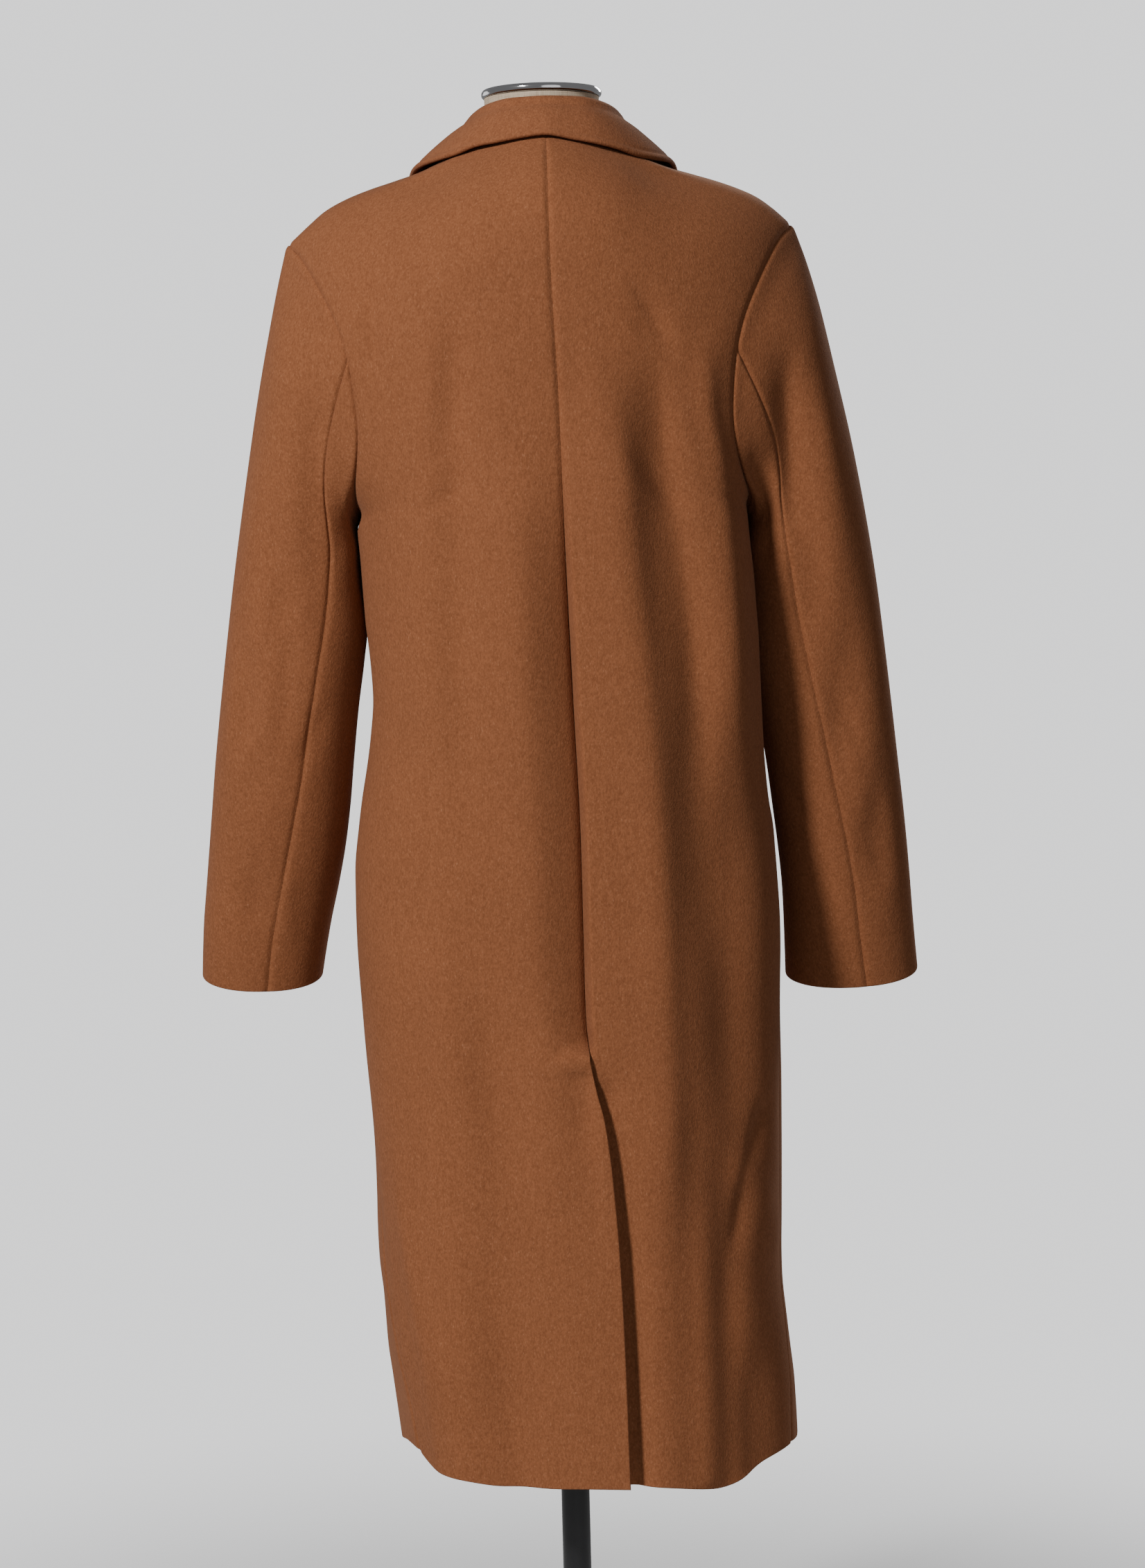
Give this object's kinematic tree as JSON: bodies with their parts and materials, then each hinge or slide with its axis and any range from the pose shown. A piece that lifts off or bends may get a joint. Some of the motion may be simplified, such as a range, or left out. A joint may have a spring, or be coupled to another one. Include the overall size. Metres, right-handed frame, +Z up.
{
  "type": "long coat on a dress form",
  "caption": "Long single-breasted wool coat with turned-down collar, set-in sleeves and back vent, worn by a limbless linen dress form on a pole with a round foot.",
  "frame": {"origin": "on the floor, at the middle of the underside of the stand's round foot", "axes": "+Z up; the coat's front looks along -Y and its back along +Y; the wearer's left side is +X"},
  "size_m": [0.6428, 0.3415, 1.522],
  "materials": {
    "wool_cloth": "felted brown wool coating with a soft short nap",
    "wool_collar": "the same felted brown wool, two layers with a rolled edge",
    "dark_horn": "dark brown horn look, polished",
    "natural_linen": "natural linen, plain weave, stretched smooth",
    "bright_chrome": "polished chrome",
    "black_enamel": "smooth black enamel, semi-gloss"
  },
  "bodies": {
    "root": {"back_left": "wool_cloth", "back_right": "wool_cloth", "front_left": "wool_cloth", "front_right": "wool_cloth", "sleeve_top_left": "wool_cloth", "sleeve_top_right": "wool_cloth", "sleeve_under_left": "wool_cloth", "sleeve_under_right": "wool_cloth", "pocket_welt_left": "wool_cloth", "pocket_welt_right": "wool_cloth", "collar": "wool_collar", "lapel_left": "wool_collar", "lapel_right": "wool_collar", "button_1": "dark_horn", "button_2": "dark_horn", "button_3": "dark_horn", "form_torso": "natural_linen", "neck_cap": "bright_chrome", "stand_pole": "black_enamel", "stand_base": "black_enamel"}
  },
  "joints": []
}
